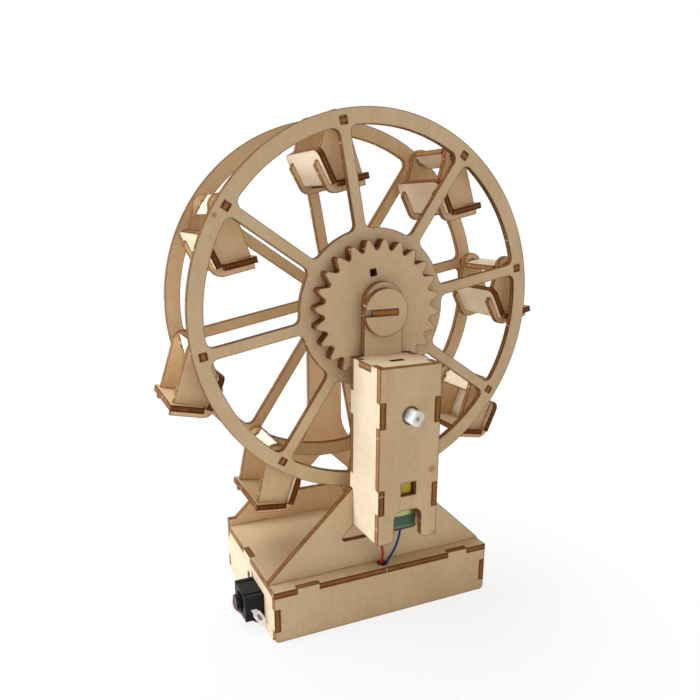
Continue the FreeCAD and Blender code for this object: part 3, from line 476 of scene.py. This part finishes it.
def cut_plate(name, outlines, thickness, place):
    """A flat plate in x and z, its thickness centred on y, with the first outline's shape and the others as
    its holes; place is where it goes."""
    curve = bpy.data.curves.new(name + "_outline", "CURVE")
    curve.dimensions = "2D"
    curve.fill_mode = "BOTH"
    curve.extrude = thickness / 2 * MM
    for outline in outlines:
        spline = curve.splines.new("POLY")
        spline.points.add(len(outline) - 1)
        for point, corner in zip(spline.points, outline):
            point.co = (corner[0] * MM, corner[1] * MM, 0, 1)
        spline.use_cyclic_u = True
    drawn = bpy.data.objects.new(name + "_outline", curve)
    mesh = bpy.data.meshes.new_from_object(drawn)
    bpy.data.objects.remove(drawn)
    mesh.transform(place @ rotation(90, "X"))
    mesh.update()
    return show(name, mesh)


def make_gear_plate(name, number):
    low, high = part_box(name)
    hub_hole = [on_circle(HUB_HOLE_RADIUS, degrees) for degrees in range(0, 360, HUB_HOLE_STEP)]
    key_middle = on_circle(KEY_HOLE_RADIUS, FIRST_SPOKE + KEY_HOLE_TURN)
    key_reach = KEY_HOLE_SIZE / math.sqrt(2)
    key_hole = [key_middle + on_circle(key_reach, FIRST_SPOKE + 45 + 90 * corner) for corner in range(4)]
    middle = Matrix.Translation((0, (low.y + high.y) / 2, AXLE_Z * MM))
    plate = cut_plate(f"gear_plate_{number}", (tooth_outline(), hub_hole, key_hole), PLY, middle)
    plate.data.materials.append(plywood_for(name, "Y", "Z", burn=GEAR_BURN,
                                            seed=seed_of(GEAR_SEEDS, number)))
    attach(plate, "wheel")
    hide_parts(name)


make_gear_plate("drive_gear", 1)
make_gear_plate("gear_spacer", 2)


# Seats: each hangs at its own tilt, so its wood is turned with it

HANGER_BURN = 0.6
SEAT_BURN = 1.0
FLOOR_SEED_SHIFT = 0.7
BACK_SEED_SHIFT = 1.3


def pivot_place(number):
    angle = math.radians(FIRST_SPOKE + SPOKE_PITCH * number)
    return BAR_CIRCLE * math.cos(angle), AXLE_Z + BAR_CIRCLE * math.sin(angle)


def hung(number, u, w):
    """Where a point of a seat hangs; (u, w) is drawn from its pivot, with its backrest on the left."""
    angle = math.radians(SEAT_TILTS[number])
    pivot_x, pivot_z = pivot_place(number)
    x = u * SEAT_SIDES[number]
    return (pivot_x + x * math.cos(angle) - w * math.sin(angle),
            pivot_z + x * math.sin(angle) + w * math.cos(angle))


def layer_start(turn, point, facing):
    """Where a point lies along a plate's facing axis, once both are turned about Y as the wood is."""
    turned = rotation(turn, "Y", 3) @ Vector((point[0], 0, point[1]))
    return turned.x if facing == "X" else turned.z


def dress_seat(number):
    seat = f"seat_{number + 1}"
    side, tilt, seed = SEAT_SIDES[number], SEAT_TILTS[number], seed_of(SEAT_SEEDS, number)
    dress(seat + "_hangers", plywood_for(seat + "_hangers", "Y", "Z", pitch=HANGER_PITCH, turn=tilt,
                                         burn=HANGER_BURN, sheet="warm", seed=seed))
    floor_start = layer_start(tilt, hung(number, 0, SEAT_FLOOR_LOW), "Z")
    dress(seat + "_floor", plywood(f"plywood_{seat}_floor", "Z", "Y", floor_start, turn=tilt,
                                   burn=SEAT_BURN, seed=seed + FLOOR_SEED_SHIFT))
    back_turn = tilt + side * BACK_LEAN
    inner = layer_start(back_turn, hung(number, *BACK_FOOT), "X")
    back_start = inner - PLY if side > 0 else inner
    dress(seat + "_back", plywood(f"plywood_{seat}_back", "X", "Y", back_start, turn=back_turn,
                                  burn=SEAT_BURN, seed=seed + BACK_SEED_SHIFT))


for number in range(SEAT_COUNT):
    dress_seat(number)


# Crossbars: one strip per seat, wide between the seat's hangers, with its corners eased

BAR_BURN = 0.3
BAR_EASE = 0.12


def make_crossbar(number):
    end, middle, half = BAR_END / 2, BAR_MIDDLE / 2, PLY / 2
    y0, y3 = BAR_SPAN
    y1, y2 = BAR_MIDDLE_SPAN
    right_side = [(end, y0), (end, y1), (middle, y1), (middle, y2), (end, y2), (end, y3)]
    outline = [(-end, y0)] + right_side + [(-z, y) for z, y in reversed(right_side[1:])]
    centre_y = (y0 + y3) / 2
    points = [to_metres((x, y - centre_y, z)) for x in (-half, half) for z, y in outline]
    count = len(outline)
    faces = [list(range(count)), list(range(2 * count - 1, count - 1, -1))]
    faces += [[i, i + count, (i + 1) % count + count, (i + 1) % count] for i in range(count)]
    mesh = bpy.data.meshes.new(f"crossbar_{number + 1}")
    mesh.from_pydata(points, [], faces)
    mesh.update()
    bar = show(f"crossbar_{number + 1}", mesh)
    x, z = pivot_place(number)
    facing = FIRST_SPOKE + SPOKE_PITCH * number + (90 if number in UPRIGHT_BARS else 0)
    bar.matrix_world = Matrix.Translation(to_metres((x, centre_y, z))) @ rotation(-facing, "Y")
    bevel = bar.modifiers.new("eased", "BEVEL")
    bevel.width = BAR_EASE * MM
    bevel.segments = 2
    bevel.limit_method = "ANGLE"
    # The crossbars' wider rim paints the shade in the gap around their tenons
    mesh.materials.append(plywood(f"plywood_crossbar_{number + 1}", "X", "Y", -half, burn=BAR_BURN,
                                  sheet="light", seed=seed_of(BAR_SEEDS, number), rim_width=BAR_RIM_AND_GAP_SHADE_WIDTH))
    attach(bar, "wheel")
    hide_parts("crossbars")


for number in range(SEAT_COUNT):
    make_crossbar(number)


# Plastics and metals

# Waves per metre of plastic's slow shade changes and its moulded grain
SHADE_WAVES = 140.0
GRAIN_WAVES = 5200.0
GRAIN_SPREAD = 0.14
GRAIN_RELIEF = (0.12, 0.04)
# How far light goes into milky plastic, and its shares for red, green and blue
MILKY_DEPTH = 3.0
MILKY_RADIUS = (1.0, 0.9, 0.8)
# The height over which a paler band at the bottom fades out
PALE_FADE = 0.4
# Waves per metre of metal's level streaks, in x, y and z, and of its tarnish
STREAK_WAVES = (130, 130, 4200)
STREAK_SPREAD = 0.2
STREAK_RELIEF = (0.1, 0.03)
TARNISH_WAVES = 260.0
TARNISH_LEVELS = (0.35, 0.7)
TARNISH_SHADE = 0.72
# A darker tone that metal takes above a given height, and the height over which it fades in
DARKER_METAL = colour(44, 44, 46)
DARKER_FADE = 1


def plastic(name, base, roughness, speckle=0.04, gloss=0.4, milky=0.0, pale_below=None, pale_colour=None):
    """Moulded plastic: an even colour with slow shade changes and a fine moulded grain. milky is how much
    light goes in and through it. Below a given height it takes a second, paler colour."""
    n = Look(name)
    place = n.add("ShaderNodeTexCoord").outputs["Object"]
    shade = n.noise(place, SHADE_WAVES)
    grain = n.noise(place, GRAIN_WAVES)
    skin = n.mix(n.ramp(shade, 0.25, 0.75), darkened(base, 1 - 4 * speckle), base)
    if pale_below:
        pale_share = n.ramp(n.split(place)["Z"], (pale_below - PALE_FADE) * MM, pale_below * MM, 1.0, 0.0)
        skin = n.mix(pale_share, skin, pale_colour)
    n.surface(Base_Color=skin, Specular_IOR_Level=gloss)
    n.rough(roughness, grain, GRAIN_SPREAD)
    if milky:
        n.surface(Subsurface_Weight=1.0, Subsurface_Radius=MILKY_RADIUS, Subsurface_Scale=MILKY_DEPTH * MM,
                  Transmission_Weight=milky)
    n.relief(grain, *GRAIN_RELIEF)
    return n.material


def metal(name, base, roughness, darker_above=None, metallic=1.0):
    """Plain sheet or turned metal with fine level streaks. Above a given height it is darker."""
    n = Look(name)
    place = n.add("ShaderNodeTexCoord").outputs["Object"]
    along = n.split(place)
    stretched = [n.math("MULTIPLY", along[axis], waves) for axis, waves in zip("XYZ", STREAK_WAVES)]
    streaks = n.noise(n.vector(*stretched))
    tarnish = n.noise(place, TARNISH_WAVES, 3.0, 0.6)
    skin = n.mix(n.ramp(tarnish, *TARNISH_LEVELS), base, darkened(base, TARNISH_SHADE))
    if darker_above:
        skin = n.mix(n.ramp(along["Z"], darker_above * MM, (darker_above + DARKER_FADE) * MM), skin, DARKER_METAL)
    n.surface(Base_Color=skin, Metallic=metallic)
    n.rough(roughness, streaks, STREAK_SPREAD)
    n.relief(streaks, *STREAK_RELIEF)
    return n.material


# The end cap is paler up to this height above its low end
PALE_HEIGHT = 1.2

yellow = plastic("yellow_gearbox", colour(230, 204, 58), 0.42)
dress("gearbox_front", yellow)
dress("gearbox_rear", yellow)
dress("gearbox_screws", metal("screw_steel", colour(188, 188, 190), 0.36))
dress("motor_can", metal("motor_can_steel", colour(196, 202, 136), 0.34))
dress("motor_end_cap", plastic("motor_end_cap_green", colour(70, 106, 88), 0.4,
                               pale_below=END_CAP_Z + PALE_HEIGHT, pale_colour=colour(104, 134, 106)))
dress("motor_shaft", plastic("white_shaft", colour(244, 242, 234), 0.5, speckle=0.01, milky=0.12))
dress("switch_body", plastic("switch_black", colour(16, 17, 17), 0.5, gloss=0.22))
dress("switch_button", plastic("button_black", colour(12, 13, 13), 0.35, gloss=0.25))
dress("battery_holder", plastic("holder_black", colour(26, 26, 28), 0.55))
dress("battery_contacts", metal("contact_nickel", colour(206, 204, 198), 0.3))

CELL_SLEEVE = colour(38, 42, 52)
CELL_BAND = colour(176, 132, 62)
CELL_METAL = colour(200, 200, 198)
# The band fades in between these distances from the cells' middle
BAND_START = (13.8, 14.2)
CELL_END_SLANT = (0.7, 0.9)
SCUFF_WAVES = 300.0
SCUFF_SPREAD = 0.2
SCUFF_RELIEF = (0.05, 0.04)
CELL_ROUGHNESS = 0.32


def cell_skin():
    """A plain shrink sleeve with a pale band near the button end and bare metal on both ends."""
    n = Look("cell_sleeve")
    place = n.add("ShaderNodeTexCoord").outputs
    along, normal = n.split(place["Object"]), n.split(place["Normal"])
    end = n.ramp(n.math("ABSOLUTE", normal["X"]), *CELL_END_SLANT)
    front_cell = n.math("LESS_THAN", along["Y"], HOLDER_CORNER[1] * MM)
    way = n.math("SUBTRACT", n.math("MULTIPLY", front_cell, 2.0), 1.0)
    band = n.ramp(n.math("MULTIPLY", along["X"], way), *[edge * MM for edge in BAND_START])
    scuffs = n.noise(place["Object"], SCUFF_WAVES, 3.0, 0.6)
    n.surface(Base_Color=n.mix(end, n.mix(band, CELL_SLEEVE, CELL_BAND), CELL_METAL), Metallic=end)
    n.rough(CELL_ROUGHNESS, scuffs, SCUFF_SPREAD)
    n.relief(scuffs, *SCUFF_RELIEF)
    return n.material


dress("battery_cells", cell_skin())


# Leads: the part's own route points, as the control points of one smooth line each

# The switch's bent lug, at which the red lead ends
LUG_BEND = (-60.7, 12.75, 9.4)
LUG_LEAN = 39.0
LUG_TILT = 26.0
LUG_SHEET = 0.5
LUG_TIP = -7.4
LUG_TURN = rotation(-LUG_LEAN, "X") @ rotation(-LUG_TILT, "Y")

MOTOR_Y = -6.35
RED_TERMINAL_X = -7.4
BLUE_TERMINAL_X = 3.9
LEAD_DROP = 6
LEAD_END_RISE = 1.5
LUG_APPROACH = 2.2


def shifted(origin, bends):
    """Route points given from an origin."""
    return [tuple(a + b for a, b in zip(origin, bend)) for bend in bends]


def on_lug(away):
    """A point behind the bent lug's tip, away from its face, placed as the lug is bent."""
    drawn = Vector((0, LUG_SHEET + away, LEAD_END_RISE + LUG_TIP))
    return tuple(Vector(LUG_BEND) + LUG_TURN.to_3x3() @ drawn)


red_route = [(RED_TERMINAL_X, MOTOR_Y, END_CAP_Z), (RED_TERMINAL_X, MOTOR_Y, END_CAP_Z - LEAD_DROP)]
red_route += shifted((0, FRONT_Y, BASE_HEIGHT),
                     ((-4.9, -4.2, 13.6), (-2.2, 0.0, 6.4), (-0.9, 4.0, -0.4), (-3.0, 6.2, -7.4)))
red_route += shifted((LEFT_X, FRONT_Y, 0),
                     ((44.0, 9.4, 11.6), (30.0, 15.4, 6.8), (18.0, 27.4, 4.0), (10.0, 39.4, 3.2),
                      (5.0, 44.0, 3.0), (-3.4, 43.6, 2.8), (-8.2, 39.4, 2.2), (-9.4, 32.6, 1.5),
                      (-8.0, 28.0, 1.4), (-3.4, 17.4, 1.5)))
red_route += [on_lug(LUG_APPROACH), on_lug(0)]

blue_route = [(BLUE_TERMINAL_X, MOTOR_Y, END_CAP_Z), (BLUE_TERMINAL_X, MOTOR_Y, END_CAP_Z - LEAD_DROP)]
blue_route += shifted((0, FRONT_Y, BASE_HEIGHT),
                      ((2.9, -2.8, 11.4), (1.7, 0.6, 4.6), (1.0, 4.3, -1.8), (0.0, 6.4, -8.8)))
blue_route += shifted(HOLDER_CORNER,
                      ((23.0, -30.0, 3.3), (13.0, -24.4, 1.7), (2.0, -18.4, 2.9), (-6.6, -12.0, 4.7),
                       (-7.0, -4.4, 6.1), (0, -4.4, 6.1)))

switch_route = [(-61.5, 30.05, 6.6), (-61.5, 35.05, 6.6), (-58.2, 36.85, 4.4), (-51.0, 36.25, 4.2)]
switch_route += shifted(HOLDER_CORNER, ((-15.0, -1.0, -0.7), (-8.0, 4.4, 3.7), (0, 4.4, 3.7)))


def make_lead(name, route, material):
    curve = bpy.data.curves.new(name, "CURVE")
    curve.dimensions = "3D"
    curve.resolution_u = 16
    curve.bevel_depth = LEAD_DIAMETER / 2 * MM
    curve.bevel_resolution = 6
    curve.use_fill_caps = True
    spline = curve.splines.new("NURBS")
    spline.points.add(len(route) - 1)
    for point, place in zip(spline.points, route):
        point.co = (*to_metres(place), 1.0)
    spline.order_u = 3
    spline.use_endpoint_u = True
    curve.materials.append(material)
    piece = show(name + "_wire", curve)
    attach(piece, "stand")
    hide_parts(name)


red_skin = plastic("red_lead_skin", colour(158, 10, 18), 0.42, gloss=0.25)
blue_skin = plastic("blue_lead_skin", colour(8, 44, 118), 0.42, gloss=0.25)
make_lead("motor_lead_red", red_route, red_skin)
make_lead("motor_lead_blue", blue_route, blue_skin)
make_lead("switch_lead", switch_route, red_skin)


# Switch lugs: a bent paddle with a long hole on the front end, and an upright prong on the rear end

PADDLE = ((-1.2, 1.4), (1.2, 1.4), (1.2, -0.6), (1.9, -1.2), (1.9, -6.2), (0.9, LUG_TIP), (-1.1, LUG_TIP),
          (-1.9, -6.0), (-1.9, -1.2), (-1.2, -0.6))
# Half width, half height and the middle's height
PADDLE_HOLE = (0.9, 1.7, -3.5)
PADDLE_HOLE_STEP = 12
SOLDER_SHEET = 0.3
PRONG = ((-1.1, -7.3), (1.1, -7.3), (1.1, 7.0), (0.3, 7.9), (-0.3, 7.9), (-1.1, 7.0))
PRONG_MIDDLE = (LEFT_X - 1.65, 31.15, 11.6)
LUG_CORNER_EASE = 0.3
DARKER_FROM = 15.5


def eased_corners(corners):
    return eased_outline([(Vector(corner), LUG_CORNER_EASE) for corner in corners])


def make_switch_lugs(tin, solder):
    bent = Matrix.Translation(to_metres(LUG_BEND)) @ LUG_TURN
    bent = bent @ Matrix.Translation(to_metres((0, LUG_SHEET / 2, 0)))
    upright = Matrix.Translation(to_metres(PRONG_MIDDLE)) @ rotation(90, "Z")
    half_width, half_height, middle = PADDLE_HOLE
    turns = [math.radians(degrees) for degrees in range(0, 360, PADDLE_HOLE_STEP)]
    hole = [(half_width * math.cos(turn), middle + half_height * math.sin(turn)) for turn in turns]
    for name, outlines, thickness, place, material in (
            ("lug_paddle", (eased_corners(PADDLE), hole), LUG_SHEET, bent, tin),
            ("lug_solder", (hole,), SOLDER_SHEET, bent, solder),
            ("lug_prong", (eased_corners(PRONG),), LUG_SHEET, upright, tin)):
        piece = cut_plate(name, outlines, thickness, place)
        piece.data.materials.append(material)
        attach(piece, "stand")
        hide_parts("switch_lugs")


make_switch_lugs(metal("lug_tinned", colour(252, 253, 254), 0.4, darker_above=DARKER_FROM, metallic=0.25),
                 metal("lug_solder", colour(128, 130, 134), 0.45, metallic=0.6))


# Floor, lamps and background, in metres

FLOOR_HALF = 4.0
FLOOR_GREY = 0.9
# The floor is this white in itself up to the first distance from the middle, and wholly from the second on
SHADOW_REACH = (0.04, 0.16)
SHADOW_WHITE = 0.82
AMBIENT = 0.44
AMBIENT_TINT = (1.0, 0.91, 0.8, 1)
WHITE = (1, 1, 1, 1)
LAMP_TARGET = (0, 0.03, 0.12)


def make_floor():
    mesh = bpy.data.meshes.new("floor")
    corners = [(x * FLOOR_HALF, y * FLOOR_HALF, 0) for x, y in ((-1, -1), (1, -1), (1, 1), (-1, 1))]
    mesh.from_pydata(corners, [], [(0, 1, 2, 3)])
    floor = show("floor", mesh)
    n = Look("floor_white")
    n.surface(Base_Color=(FLOOR_GREY, FLOOR_GREY, FLOOR_GREY, 1), Roughness=0.9)
    place = n.add("ShaderNodeTexCoord").outputs["Object"]
    reach = n.fill(n.add("ShaderNodeVectorMath", operation="LENGTH"), {0: place})
    white = n.ramp(reach.outputs["Value"], *SHADOW_REACH, SHADOW_WHITE, 1.0)
    seen = n.add("ShaderNodeLightPath").outputs["Is Camera Ray"]
    glow = n.fill(n.add("ShaderNodeEmission"), {"Color": WHITE})
    blend = n.fill(n.add("ShaderNodeMixShader"),
                   {0: n.math("MULTIPLY", white, seen), 1: n.shader.outputs[0], 2: glow.outputs[0]})
    n.fill(n.tree.nodes["Material Output"], {"Surface": blend.outputs[0]})
    mesh.materials.append(n.material)


def make_world():
    """A warm dim light all round, while the camera and mirrors see plain white."""
    world = bpy.data.worlds.new("studio")
    bpy.context.scene.world = world
    world.use_nodes = True
    world.node_tree.nodes.clear()
    n = Nodes(world.node_tree)
    ray = n.add("ShaderNodeLightPath").outputs
    seen = n.math("MAXIMUM", ray["Is Camera Ray"], ray["Is Transmission Ray"])
    seen = n.math("MAXIMUM", seen, ray["Is Glossy Ray"])
    ambient = n.fill(n.add("ShaderNodeBackground"), {"Color": AMBIENT_TINT, "Strength": AMBIENT})
    white = n.fill(n.add("ShaderNodeBackground"), {"Color": WHITE, "Strength": 1.0})
    blend = n.fill(n.add("ShaderNodeMixShader"), {0: seen, 1: ambient.outputs[0], 2: white.outputs[0]})
    n.fill(n.add("ShaderNodeOutputWorld"), {"Surface": blend.outputs[0]})


def make_lamp(name, azimuth, elevation, distance, size, power, tint):
    """A square soft lamp aimed at the wheel."""
    away = away_from_middle(azimuth, elevation)
    data = bpy.data.lights.new(name, "AREA")
    data.size = size
    data.energy = power
    data.color = tint
    lamp = show(name, data)
    lamp.location = Vector(LAMP_TARGET) + away * distance
    lamp.rotation_euler = away.to_track_quat("Z", "Y").to_euler()


make_floor()
make_world()
make_lamp("key_left", -97, -4, 0.72, 0.22, 5.2, (0.84, 1.06, 1.43))
make_lamp("fill_front", 20, 10, 1.3, 0.8, 2.15, (0.96, 1.0, 1.09))
make_lamp("top_left", -112, 60, 0.9, 0.6, 3.5, (0.97, 1.02, 1.08))
make_lamp("back_top", -150, 60, 1.0, 0.7, 3.3, (1.0, 0.98, 0.96))

bpy.context.scene.view_settings.view_transform = "Standard"
